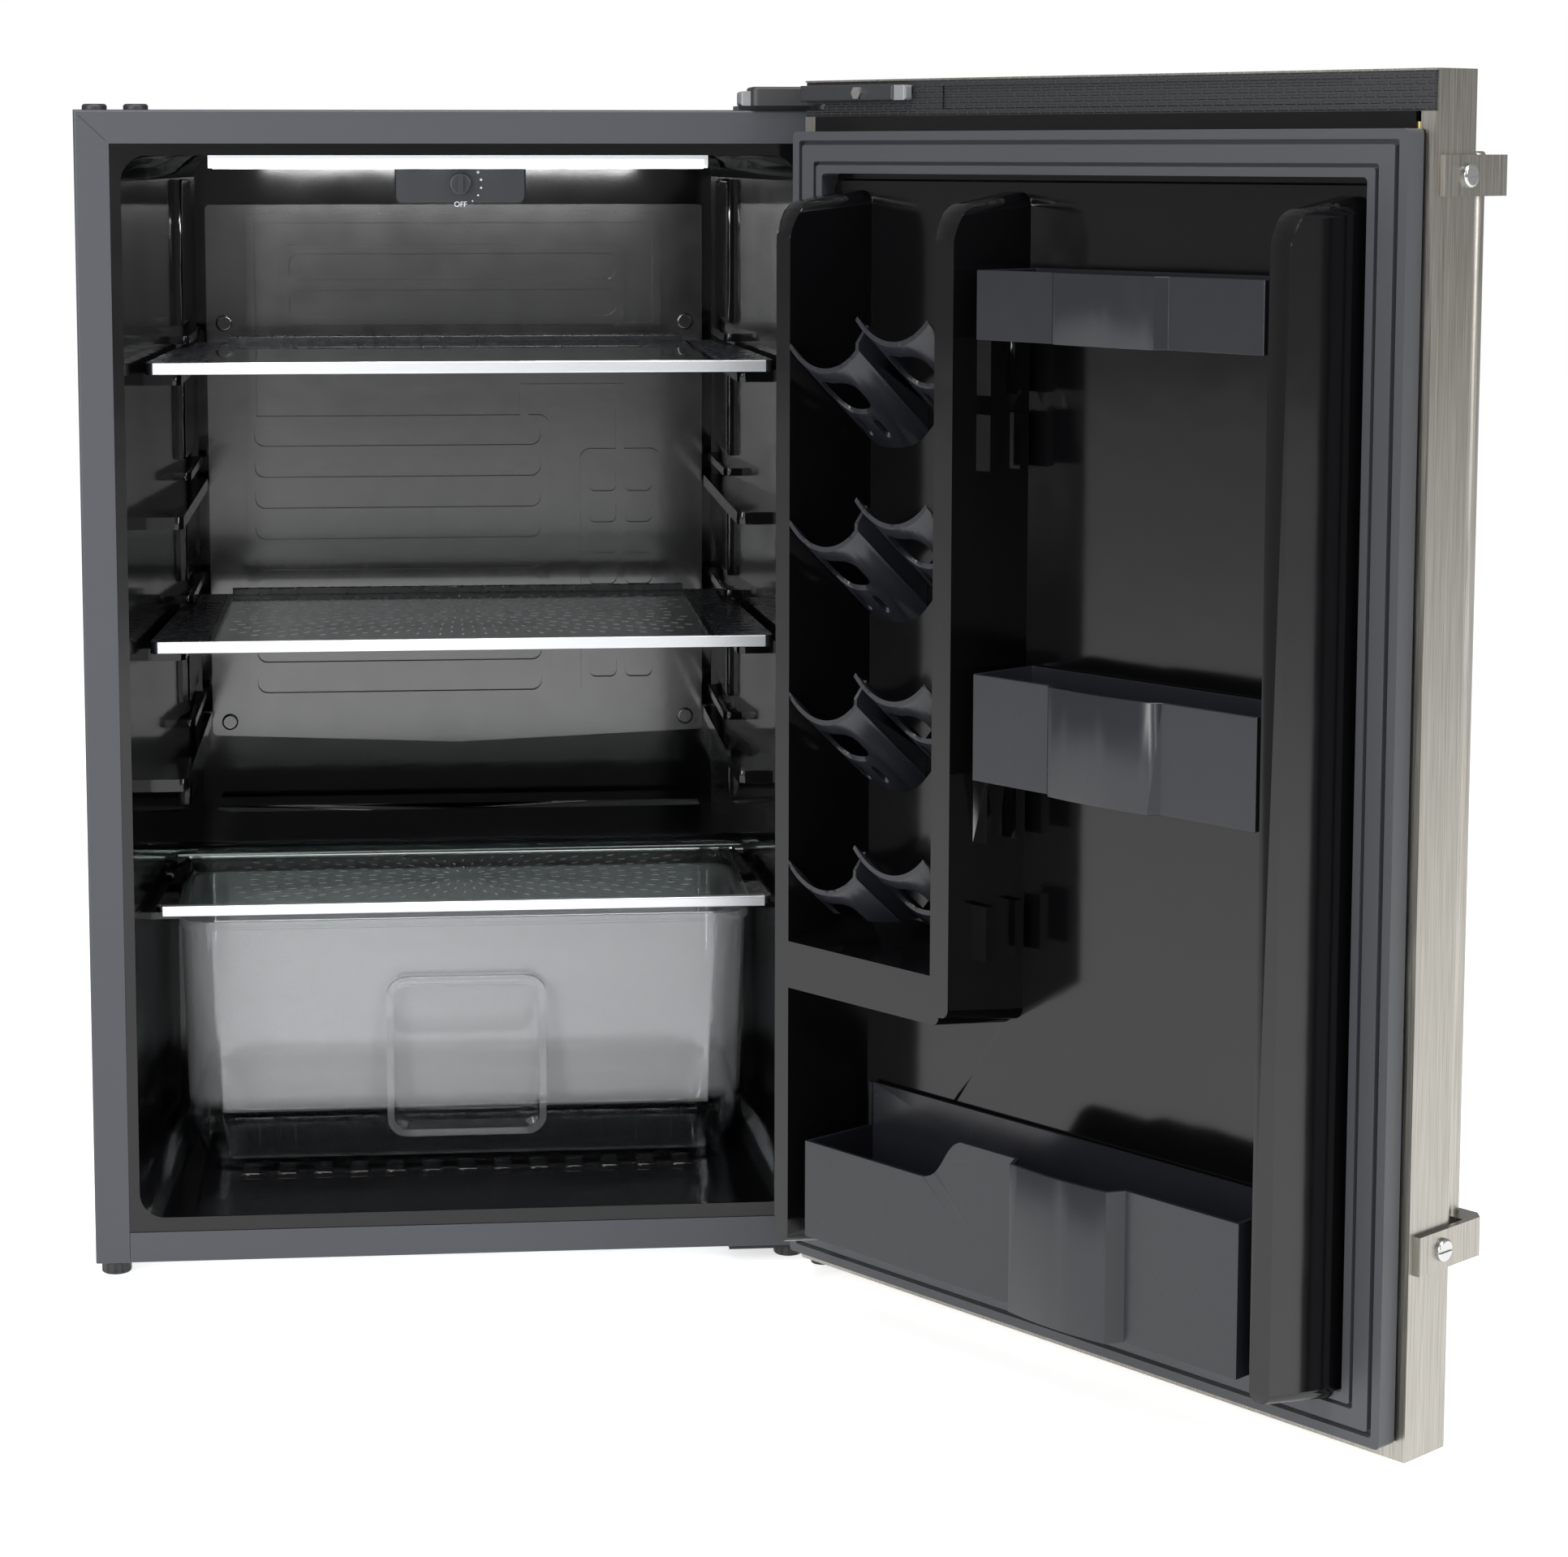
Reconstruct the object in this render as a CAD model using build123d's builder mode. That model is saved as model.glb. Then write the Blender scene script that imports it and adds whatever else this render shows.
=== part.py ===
"""Under-counter larder refrigerator, 527 mm wide, with a glazed black cabin and a steel-faced door.

Everything is drawn with the door shut, in millimetres: X to the right, Y from the cabinet's front
face towards its back, Z up from the floor.  The door is then swung to the angle at which the
refrigerator is stored, and the whole is moved so that the origin is the bottom centre of its box.
"""

import math
import os

from build123d import *

os.makedirs("parts", exist_ok=True)

# ---------------------------------------------------------------- driving dimensions
CABINET_WIDTH = 527.0
CABINET_DEPTH = 475.0
CABINET_BOTTOM = 13.0  # height of the feet under the cabinet
CABINET_TOP = 822.0
SHEET = 1.5  # painted steel sheet
FLANGE = 24.0  # width of the sheet steel face round the opening
RAIL_TOP = 35.0  # top of the bar below the opening

CAVITY_HALF = 232.0  # half width of the cabin at its mouth
CAVITY_TAPER = 23.0  # how much narrower each side is at the back
CAVITY_FLOOR = 45.0
CAVITY_CEILING = 791.0
CAVITY_DEPTH = 420.0
LINER = 3.5  # liner wall
STEP_FRONT = 242.0  # the step over the compressor
STEP_TOP = 262.0
STEP_FILL = 240.0  # how high the foam comes under the step
BAY_FRONT = 300.0  # compressor bay behind the step
BAY_TOP = 225.0

SHELF_TOPS = (645.0, 446.0)
CRISPER_SHELF_TOP = 254.5
SHELF_FRONT = 66.0
SHELF_BACK = 330.0
SHELF_THICK = 8.5
RAIL_LEVELS = (645.0, 541.0, 446.0, 350.0)  # shelf heights that the cabin walls offer

DOOR_HALF = 259.0
DOOR_BOTTOM = 13.4
DOOR_TOP = 841.5
DOOR_GAP = 18.0  # from the cabinet's face to the door's back
DOOR_THICK = 44.0
SKIN = 1.2
CAP_BOTTOM = 817.0  # underside of the door's top cap

HINGE_X = 249.4
HINGE_Y = -28.9
HINGE_PIN = 4.0  # pin radius
PIN_PLAY = 0.1
STORED_ANGLE = 127.6  # how far the door stands open

WALL_HEIGHT = 72.0  # how far the door liner's walls stand out
GRILLE_PITCH = 15.0

door_back = -DOOR_GAP
door_front = -DOOR_GAP - DOOR_THICK
half = CABINET_WIDTH / 2
inside = half - SHEET  # inner face of the side sheets
mouth = half - FLANGE  # edge of the steel face round the opening

bodies = {}


# ---------------------------------------------------------------- helpers
def block(x, y, z, mode=Mode.ADD):
    """A box given by its low and high X, Y and Z."""
    centre = [(low + high) / 2 for low, high in (x, y, z)]
    with Locations(tuple(centre)):
        made = Box(x[1] - x[0], y[1] - y[0], z[1] - z[0], mode=mode)
    return made


def upright(radius, x, y, z, mode=Mode.ADD):
    """A vertical round bar from z[0] to z[1]."""
    with Locations((x, y, (z[0] + z[1]) / 2)):
        return Cylinder(radius, z[1] - z[0], mode=mode)


def facing(y):
    """The plane at depth y whose sketch runs along X and Z; a negative extrude goes to the back."""
    return Plane.XZ.offset(-y)


def keep(piece, label, body):
    """Labels a finished piece and notes which moving body it belongs to."""
    piece.label = label
    bodies.setdefault(body, []).append(piece)


def at_door(s, n):
    """Plan position of a point s from the door's hinge edge and n behind the door's back face."""
    return DOOR_HALF - s, door_back + n


# ---------------------------------------------------------------- cabinet sheet metal
with BuildPart() as outer_shell:
    block((-half, half), (0, CABINET_DEPTH), (CABINET_BOTTOM, CABINET_TOP))
    front_edges = outer_shell.edges().group_by(Axis.Y)[0].filter_by(Axis.X).sort_by(Axis.Z)[-1:]
    front_edges += outer_shell.edges().group_by(Axis.Y)[0].filter_by(Axis.Z)
    fillet(front_edges, 2.0)
    block((-inside, inside), (SHEET, CABINET_DEPTH), (0, CABINET_TOP - SHEET), Mode.SUBTRACT)
    block((-mouth, mouth), (-1, SHEET), (0, CABINET_TOP - FLANGE + 1), Mode.SUBTRACT)
    with BuildSketch(facing(0)):  # the mitres where the top flange meets the side flanges
        for side in (-1, 1):
            with BuildLine():
                Line((side * (mouth + 2), CABINET_TOP - FLANGE + 3), (side * (half - 4), CABINET_TOP - 4))
            trace(line_width=0.7)
    extrude(amount=-0.5, mode=Mode.SUBTRACT)
keep(outer_shell.part, "outer_shell", "cabinet")

with BuildPart() as bottom_rail:
    block((-mouth + 0.3, mouth - 0.3), (0, SHEET), (CABINET_BOTTOM, RAIL_TOP - 0.3))
    block((-mouth + 0.3, mouth - 0.3), (SHEET, 12), (RAIL_TOP - 1.8, RAIL_TOP - 0.3))
    fillet(bottom_rail.edges().group_by(Axis.Y)[0].filter_by(Axis.X).sort_by(Axis.Z)[0], 1.0)
keep(bottom_rail.part, "bottom_rail", "cabinet")

FOOT_SPOTS = {"left_front_foot": (-251.0, 24.0), "right_front_foot": (230.7, 24.0)}
FOOT_STEM = 4.0
FOOT_PLAY = 0.35
DRAIN_X, DRAIN_Y = 0.0, 388.0
with BuildPart() as base_plate:
    block((-inside, inside), (SHEET, CABINET_DEPTH), (CABINET_BOTTOM, 15))
    for x, y in FOOT_SPOTS.values():
        upright(8, x, y, (15, 23))
        upright(FOOT_STEM + FOOT_PLAY, x, y, (0, 30), Mode.SUBTRACT)
keep(base_plate.part, "base_plate", "cabinet")

with BuildPart() as back_panel:
    block((-inside, inside), (CABINET_DEPTH - SHEET, CABINET_DEPTH), (BAY_TOP + SHEET, CABINET_TOP - SHEET))
    for z in (330, 480, 630, 780):  # pressed stiffening ribs
        block((-200, 200), (CABINET_DEPTH, CABINET_DEPTH + 1.2), (z - 10, z + 10))
    rib_edges = back_panel.faces().sort_by(Axis.Y)[-4:].edges()
    chamfer(rib_edges, 1.0)
keep(back_panel.part, "back_panel", "cabinet")

with BuildPart() as bay_panel:
    block((-inside, inside), (BAY_FRONT, CABINET_DEPTH), (BAY_TOP, BAY_TOP + SHEET))
    block((-inside, inside), (BAY_FRONT, BAY_FRONT + SHEET), (15, BAY_TOP))
    upright(9, DRAIN_X, DRAIN_Y, (BAY_TOP - 2, BAY_TOP + 4), Mode.SUBTRACT)
keep(bay_panel.part, "bay_panel", "cabinet")


# ---------------------------------------------------------------- cabin liner
def cabin(grow, front, back):
    """The tapering cabin, larger by grow all round, between two depths, without its step."""
    height = CAVITY_CEILING - CAVITY_FLOOR + 2 * grow
    middle = (CAVITY_CEILING + CAVITY_FLOOR) / 2
    with BuildPart(mode=Mode.PRIVATE) as room:
        for y in (front, back):
            reach = CAVITY_HALF + grow - CAVITY_TAPER * y / CAVITY_DEPTH
            with BuildSketch(facing(y)):
                with Locations((0, middle)):
                    RectangleRounded(2 * reach, height, 18 + grow)
        loft()
    return room.part


outer_room = cabin(LINER, 1.0, CAVITY_DEPTH + LINER)

with BuildPart() as cavity:
    add(cabin(0, -1.0, CAVITY_DEPTH))
    block((-250, 250), (STEP_FRONT, 450), (0, STEP_TOP), Mode.SUBTRACT)
    step_edge = cavity.edges().filter_by(Axis.X).filter_by_position(Axis.Z, STEP_TOP - 1, STEP_TOP + 1)
    fillet(step_edge.sort_by(Axis.Y)[0], 16)
    for side in (-1, 1):  # the gutter falls from both sides to the drain in the middle
        with BuildSketch(Plane((0, DRAIN_Y, STEP_TOP - 4), x_dir=(0, 1, 0), z_dir=(side, 0, 0.035))):
            Circle(13)
        extrude(amount=196)

with BuildPart() as wall_features:
    for side in (-1, 1):
        for top in RAIL_LEVELS:
            below = top - SHELF_THICK - 0.4
            block(sorted((side * 200, side * 240)), (96, 392), (below - 9, below))
            block(sorted((side * 204, side * 240)), (250, 392), (top + 3, top + 9))
    fillet(wall_features.edges().filter_by(Axis.Z), 6)
    for side in (-1, 1):
        for low, high in ((660, 772), (556, 622), (461, 518), (365, 422), (285, 326)):
            block(sorted((side * 210.4, side * 240)), (292, 396), (low, high))
        block(sorted((side * 206, side * 240)), (84, STEP_FRONT - 2), (241, CRISPER_SHELF_TOP - SHELF_THICK))
    pads = wall_features.edges().filter_by(Axis.Y).filter_by_position(Axis.X, -210.5, -210.3)
    pads += wall_features.edges().filter_by(Axis.Y).filter_by_position(Axis.X, 210.3, 210.5)
    pads += wall_features.edges().filter_by(Axis.Z).filter_by_position(Axis.X, -210.5, -210.3)
    pads += wall_features.edges().filter_by(Axis.Z).filter_by_position(Axis.X, 210.3, 210.5)
    fillet(pads, 2.5)
    for count in range(13):  # ribs that the drawer runs on
        x = (count - 6) * 26.5
        block((x - 7, x + 7), (92, STEP_FRONT + 2), (CAVITY_FLOOR - 1, CAVITY_FLOOR + 3))
    ribs = wall_features.edges().filter_by_position(Axis.Z, CAVITY_FLOOR + 2.9, CAVITY_FLOOR + 3.1)
    fillet(ribs, 2)
    add(outer_room, mode=Mode.INTERSECT)

with BuildPart() as inner_liner:
    block((-mouth, mouth), (0.8, 3.3), (RAIL_TOP, CABINET_TOP - FLANGE + 1))
    add(outer_room)
    block((-250, 250), (STEP_FRONT + LINER, 450), (0, STEP_FILL), Mode.SUBTRACT)
    add(cavity.part, mode=Mode.SUBTRACT)
    add(wall_features.part)
    upright(6, DRAIN_X, DRAIN_Y, (200, 280), Mode.SUBTRACT)
keep(inner_liner.part, "inner_liner", "cabinet")


with BuildPart() as cabinet_foam:
    block((-inside, inside), (3.3, CABINET_DEPTH - SHEET), (RAIL_TOP, CABINET_TOP - SHEET))
    block((-inside, inside), (BAY_FRONT, CABINET_DEPTH), (0, BAY_TOP + SHEET), Mode.SUBTRACT)
    add(outer_room, mode=Mode.SUBTRACT)
    block((-205, 205), (STEP_FRONT + LINER, CABINET_DEPTH - SHEET), (BAY_TOP + SHEET, STEP_FILL))
    upright(9, DRAIN_X, DRAIN_Y, (200, 300), Mode.SUBTRACT)
    block((-232, 232), (-1, 60), (30, RAIL_TOP + 1), Mode.SUBTRACT)
keep(cabinet_foam.part, "cabinet_foam", "cabinet")

# ---------------------------------------------------------------- evaporator on the back wall
PLATE_Y = 405.0
CHANNEL = 7.0
with BuildPart() as evaporator_plate:
    with BuildSketch(facing(PLATE_Y)):
        with BuildLine():
            Polyline((-200, 751), (200, 751), (200, 320), (0, 312), (-200, 320), close=True)
        make_face()
    extrude(amount=-1.6)
    fillet(evaporator_plate.edges().filter_by(Axis.Y), 4)
    with BuildSketch(facing(PLATE_Y)):
        with BuildLine():  # the feed that frames the upper field and turns back on the right
            Polyline((-164.5, 577), (-164.5, 740), (163, 740), (163, 652), (133, 652), (133, 686))
        trace(line_width=CHANNEL)
        with BuildLine():  # the return from the right hand grid to the joint
            Polyline((133, 549), (133, 602), (55, 602), (55, 577))
        trace(line_width=CHANNEL)
        with Locations((-2, 686.5)):
            RectangleRounded(277, 64, 8)
        with Locations((-47.4, 464.5)):
            RectangleRounded(244.6, 232, 8)
        with Locations((133, 450.5)):
            RectangleRounded(65, 204, 8)
        with Locations((-2, 672), (-2, 701)):
            RectangleRounded(263, 21.5, 8, mode=Mode.SUBTRACT)
        with Locations((-47.4, 464.5)):
            with GridLocations(0, 25.2, 1, 9):
                RectangleRounded(231, 18.2, 8, mode=Mode.SUBTRACT)
        with Locations((133, 450.5)):
            with GridLocations(29, 25.5, 2, 7):
                RectangleRounded(22, 18.5, 5, mode=Mode.SUBTRACT)
    extrude(amount=3.4)
    for x in (-186, 186):
        for z in (656, 331):
            with Locations((x, PLATE_Y, z)):
                Cylinder(2.6, 8, rotation=(90, 0, 0), mode=Mode.SUBTRACT)
keep(evaporator_plate.part, "evaporator_plate", "cabinet")

with BuildPart() as evaporator_studs:
    for x in (-186, 186):
        for z in (656, 331):
            with BuildSketch(facing(PLATE_Y)):
                with Locations((x, z)):
                    Circle(6.5)
            extrude(amount=3)
            with BuildSketch(facing(PLATE_Y + 1.6)):
                with Locations((x, z)):
                    Circle(6)
            extrude(amount=-(CAVITY_DEPTH - PLATE_Y - 1.6))
            with BuildSketch(facing(PLATE_Y)):
                with Locations((x, z)):
                    Circle(2.5)
            extrude(amount=-2)
    rims = evaporator_studs.edges().filter_by(GeomType.CIRCLE).group_by(Axis.Y)[0]
    fillet(rims, 1.5)
keep(evaporator_studs.part, "evaporator_studs", "cabinet")

# ---------------------------------------------------------------- light and thermostat under the ceiling
LIGHT_FRONT = 20.0
with BuildPart() as light_housing:
    block((-174, 172), (LIGHT_FRONT, 44), (CAVITY_CEILING - 9, CAVITY_CEILING))
    chamfer(light_housing.edges().group_by(Axis.Z)[0].filter_by(Axis.X), 2)
    block((-171, 169), (LIGHT_FRONT + 3, 41), (CAVITY_CEILING - 12, CAVITY_CEILING - 2), Mode.SUBTRACT)
    block((-171, 169), (LIGHT_FRONT - 1, LIGHT_FRONT + 4), (CAVITY_CEILING - 12, CAVITY_CEILING - 3), Mode.SUBTRACT)
keep(light_housing.part, "light_housing", "cabinet")

with BuildPart() as light_lens:
    block((-170.8, 168.8), (LIGHT_FRONT, 40.8), (CAVITY_CEILING - 9.4, CAVITY_CEILING - 7.6))
    block((-170.8, 168.8), (LIGHT_FRONT, LIGHT_FRONT + 1.8), (CAVITY_CEILING - 7.6, CAVITY_CEILING - 3.2))
    fillet(light_lens.edges().group_by(Axis.Z)[0].filter_by(Axis.X), 0.9)
keep(light_lens.part, "light_lens", "cabinet")

with BuildPart() as light_board:
    block((-168, 166), (26, 38), (CAVITY_CEILING - 3.6, CAVITY_CEILING - 2))
    for count in range(10):
        x = (count - 4.5) * 34 - 1
        block((x - 2, x + 2), (30, 34), (CAVITY_CEILING - 5, CAVITY_CEILING - 3.6))
keep(light_board.part, "light_board", "cabinet")

KNOB_Y = 52.0
KNOB_Z = 771.0
with BuildPart() as control_box:
    with BuildSketch(facing(KNOB_Y)):
        with Locations((0, 774)):
            RectangleRounded(92, 33.8, 5)
    extrude(amount=-70)
    chamfer(control_box.edges().group_by(Axis.Y)[0], 1)
    with Locations((0, KNOB_Y + 2, KNOB_Z)):
        Cylinder(2.9, 16, rotation=(90, 0, 0), mode=Mode.SUBTRACT)
    with BuildSketch(facing(KNOB_Y)):  # the raised arc of the dial with its setting dots
        with BuildLine():
            CenterArc((0, KNOB_Z), 12.2, -65, 130)
        trace(line_width=1.2)
    extrude(amount=0.4)
keep(control_box.part, "control_box", "cabinet")

with BuildPart() as thermostat_knob:
    with Locations((0, KNOB_Y - 4.6, KNOB_Z)):
        Cylinder(7.6, 8, rotation=(90, 0, 0))
    fillet(thermostat_knob.edges().filter_by(GeomType.CIRCLE).sort_by(Axis.Y)[0], 1.2)
    with BuildSketch(facing(KNOB_Y - 8.6)):  # the finger grip across the knob
        with Locations((0, KNOB_Z)):
            SlotOverall(14.6, 3.6, rotation=90)
    extrude(amount=4.4)
    with Locations((0, KNOB_Y + 2.2, KNOB_Z)):
        Cylinder(2.6, 5.8, rotation=(90, 0, 0))
keep(thermostat_knob.part, "thermostat_knob", "thermostat_knob")


# ---------------------------------------------------------------- shelves
def shelf_half(y):
    """Half width of a shelf at depth y: it follows the tapering walls with a running clearance."""
    return 227.0 - CAVITY_TAPER * y / CAVITY_DEPTH


def shelf(top, name):
    """A glass shelf in a slotted plastic frame with a bright strip along its front."""
    bottom = top - SHELF_THICK
    front, back = shelf_half(SHELF_FRONT), shelf_half(SHELF_BACK)
    with BuildPart() as frame:
        with BuildSketch(Plane.XY.offset(bottom)):
            with BuildLine():
                Polyline((-front, SHELF_FRONT), (front, SHELF_FRONT), (back, SHELF_BACK),
                         (-back, SHELF_BACK), close=True)
            make_face()
        extrude(amount=SHELF_THICK)
        fillet(frame.edges().filter_by(Axis.Z), 5)
        block((-178, 178), (72, SHELF_BACK - 8), (bottom - 1, top - 4), Mode.SUBTRACT)
        block((-182, 182), (SHELF_FRONT + 3, SHELF_BACK - 4), (top - 4, top + 1), Mode.SUBTRACT)
        block((-174, 174), (76, SHELF_BACK - 12), (bottom - 1, top), Mode.SUBTRACT)
        block((-218, 218), (SHELF_FRONT - 1, SHELF_FRONT + 2.2), (bottom - 1, top + 1), Mode.SUBTRACT)
        for side in (-1, 1):  # the open bars at both ends
            for count in range(13):
                y = 90 + count * GRILLE_PITCH
                ends = sorted((side * 186, side * (shelf_half(y) - 9)))
                block(ends, (y, y + 6), (bottom - 1, top + 1), Mode.SUBTRACT)
        block((-178, 178), (SHELF_BACK - 4, SHELF_BACK), (top - 1, top + 5))  # the stop along the back
        fillet(frame.edges().group_by(Axis.Z)[-1].filter_by(Axis.X), 1.5)
    with BuildPart() as glass:
        block((-181.7, 181.7), (SHELF_FRONT + 3.3, SHELF_BACK - 4.3), (top - 4, top - 0.2))
    with BuildPart() as trim:
        block((-217.7, 217.7), (SHELF_FRONT, SHELF_FRONT + 2.2), (bottom, top))
        fillet(trim.edges().group_by(Axis.Y)[0].filter_by(Axis.X), 0.9)
    keep(frame.part, name + "_frame", name)
    keep(glass.part, name + "_glass", name)
    keep(trim.part, name + "_trim", name)


shelf(SHELF_TOPS[0], "upper_shelf")
shelf(SHELF_TOPS[1], "middle_shelf")

CRISPER_BACK = STEP_FRONT - 3.0
with BuildPart() as crisper_shelf_glass:
    with BuildSketch(Plane.XY.offset(CRISPER_SHELF_TOP - 4)):
        with BuildLine():
            Polyline((-222, 63), (222, 63), (211, CRISPER_BACK), (-211, CRISPER_BACK), close=True)
        make_face()
    extrude(amount=4)
    fillet(crisper_shelf_glass.edges().filter_by(Axis.Z), 4)
keep(crisper_shelf_glass.part, "crisper_shelf_glass", "crisper_shelf")

with BuildPart() as crisper_shelf_trim:
    block((-217, 217), (60.8, 66), (CRISPER_SHELF_TOP - 7, CRISPER_SHELF_TOP + 0.8))
    fillet(crisper_shelf_trim.edges().group_by(Axis.Y)[0].filter_by(Axis.X), 1.2)
    block((-222.5, 222.5), (62.8, 70), (CRISPER_SHELF_TOP - 4.2, CRISPER_SHELF_TOP), Mode.SUBTRACT)
keep(crisper_shelf_trim.part, "crisper_shelf_trim", "crisper_shelf")

with BuildPart() as crisper_shelf_runners:
    for side in (-1, 1):
        with BuildSketch(Plane.XY.offset(CRISPER_SHELF_TOP - 8.2)):
            with BuildLine():
                Polyline((side * 207, 76), (side * 221, 76), (side * 212, 232), (side * 207, 232), close=True)
            make_face()
        extrude(amount=4.2)
keep(crisper_shelf_runners.part, "crisper_shelf_runners", "crisper_shelf")

# ---------------------------------------------------------------- crisper drawer
DRAWER_TOP = 240.0
DRAWER_WALL = 2.6
DRAWER_FLOOR = CAVITY_FLOOR + 3.4


def drawer_body(inset):
    """The solid drawer shape, smaller by inset on every side but the top."""
    low = DRAWER_FLOOR + inset
    with BuildPart(mode=Mode.PRIVATE) as body:
        levels = ((low, 122, 196), (low + 44, 92, 204), (DRAWER_TOP, 76, 206.5))
        for z, front, reach in levels:
            with BuildSketch(Plane.XY.offset(z)):
                with Locations((0, (front + STEP_FRONT - 6) / 2)):
                    RectangleRounded(2 * (reach - inset), STEP_FRONT - 6 - front - 2 * inset, 26 - inset)
        loft(ruled=True)
    return body.part


with BuildPart() as crisper_drawer:
    add(drawer_body(0))
    fillet(crisper_drawer.edges().group_by(Axis.Z)[0], 12)
    with BuildSketch(Plane.XY.offset(DRAWER_TOP - 6)):  # the rolled rim
        with Locations((0, (74 + STEP_FRONT - 5) / 2)):
            RectangleRounded(2 * 208.5, STEP_FRONT - 5 - 74, 26)
    extrude(amount=6)
    add(drawer_body(DRAWER_WALL), mode=Mode.SUBTRACT)
    with BuildSketch(facing(74)):  # the finger pull, an upright rim on the sloping front
        with Locations((0, 137)):
            RectangleRounded(116, 118, 14)
            RectangleRounded(106, 108, 10, mode=Mode.SUBTRACT)
    extrude(amount=-34)
    add(drawer_body(DRAWER_WALL), mode=Mode.SUBTRACT)
keep(crisper_drawer.part, "crisper_drawer", "crisper_drawer")

# ---------------------------------------------------------------- compressor bay
COMPRESSOR = (-70.0, 388.0)
with BuildPart() as compressor:
    upright(58, COMPRESSOR[0], COMPRESSOR[1], (42, 168))
    fillet(compressor.edges().filter_by(GeomType.CIRCLE), 26)
    upright(60.5, COMPRESSOR[0], COMPRESSOR[1], (98, 103))
    block((-150, 10), (340, 436), (32, 35))
    upright(40, COMPRESSOR[0], COMPRESSOR[1], (34, 46))
    for x in (-138, -2):
        for y in (352, 424):
            upright(7, x, y, (30, 36), Mode.SUBTRACT)
keep(compressor.part, "compressor", "cabinet")

with BuildPart() as compressor_grommets:
    for x in (-138, -2):
        for y in (352, 424):
            upright(9.5, x, y, (15, 32))
            upright(6.8, x, y, (32, 38))
            upright(9, x, y, (35, 39))
keep(compressor_grommets.part, "compressor_grommets", "cabinet")

with BuildPart() as relay_cover:
    block((-12, 24), (362, 414), (72, 138))
    fillet(relay_cover.edges().filter_by(Axis.X), 6)
    upright(60.7, COMPRESSOR[0], COMPRESSOR[1], (20, 190), Mode.SUBTRACT)
keep(relay_cover.part, "relay_cover", "cabinet")

with BuildPart() as filter_drier:
    with BuildSketch(Plane.YZ.offset(70)):
        with Locations((440, 90)):
            Circle(9)
    extrude(amount=110)
    chamfer(filter_drier.edges().filter_by(GeomType.CIRCLE), 5)
keep(filter_drier.part, "filter_drier", "cabinet")


TUBE = 3.0
TUBE_ROUTES = (
    ((-70, 440, 140), (-70, 458, 140), (-70, 458, 200), (222, 458, 200), (222, 440, 90), (181, 440, 90)),
    ((-110, 436, 120), (-180, 450, 120), (-180, 450, 214), (-180, 420, 214)),
)
with BuildPart() as refrigerant_tubes:
    for corners in TUBE_ROUTES:
        with BuildLine():
            route = FilletPolyline(*corners, radius=9)
        with BuildSketch(Plane(origin=route @ 0, z_dir=route % 0)):
            Circle(TUBE)
        sweep(path=route)
    upright(60.6, COMPRESSOR[0], COMPRESSOR[1], (20, 190), Mode.SUBTRACT)
keep(refrigerant_tubes.part, "refrigerant_tubes", "cabinet")

with BuildPart() as drain_tray:
    block((-40, 40), (368, 424), (172, 190))
    fillet(drain_tray.edges().filter_by(Axis.Z), 8)
    block((-37.5, 37.5), (370.5, 421.5), (174, 191), Mode.SUBTRACT)
keep(drain_tray.part, "drain_tray", "cabinet")

with BuildPart() as drain_tube:
    upright(5.9, DRAIN_X, DRAIN_Y, (180, STEP_FILL - 1))
    upright(8.5, DRAIN_X, DRAIN_Y, (BAY_TOP + 6, BAY_TOP + 12))
    upright(4.5, DRAIN_X, DRAIN_Y, (170, 300), Mode.SUBTRACT)
keep(drain_tube.part, "drain_tube", "cabinet")

CORD_GLAND = (180.0, 60.0)
with BuildPart() as cord_gland:  # the supply cord's bush in its bracket at the back of the bay
    block((150, 210), (CABINET_DEPTH - 8, CABINET_DEPTH - 3), (30, 84))
    block((150, 210), (430, CABINET_DEPTH - 3), (30, 32.5))
    with BuildSketch(facing(CABINET_DEPTH - 8)):
        with Locations(CORD_GLAND):
            Circle(9)
    extrude(amount=-10)
    with Locations((CORD_GLAND[0], CABINET_DEPTH - 4, CORD_GLAND[1])):
        Cylinder(4, 30, rotation=(90, 0, 0), mode=Mode.SUBTRACT)
    block((160, 200), (440, 456), (15, 30.2))
keep(cord_gland.part, "cord_gland", "cabinet")

# ---------------------------------------------------------------- feet
with BuildPart() as rear_feet:
    for x in (-225, 225):
        upright(11, x, 440, (0, CABINET_BOTTOM))
    chamfer(rear_feet.edges().filter_by(GeomType.CIRCLE).group_by(Axis.Z)[0], 2)
keep(rear_feet.part, "rear_feet", "cabinet")

FOOT_HEAD = 9.0
for label, (x, y) in FOOT_SPOTS.items():
    with BuildPart() as levelling_foot:
        upright(10.5, x, y, (0, FOOT_HEAD))
        chamfer(levelling_foot.edges().filter_by(GeomType.CIRCLE), 1)
        upright(FOOT_STEM, x, y, (FOOT_HEAD - 0.5, 28))
        with Locations((x, y, 4.5)):
            with PolarLocations(10.9, 12):
                Cylinder(1.1, 12, mode=Mode.SUBTRACT)
    keep(levelling_foot.part, label, label)

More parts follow.
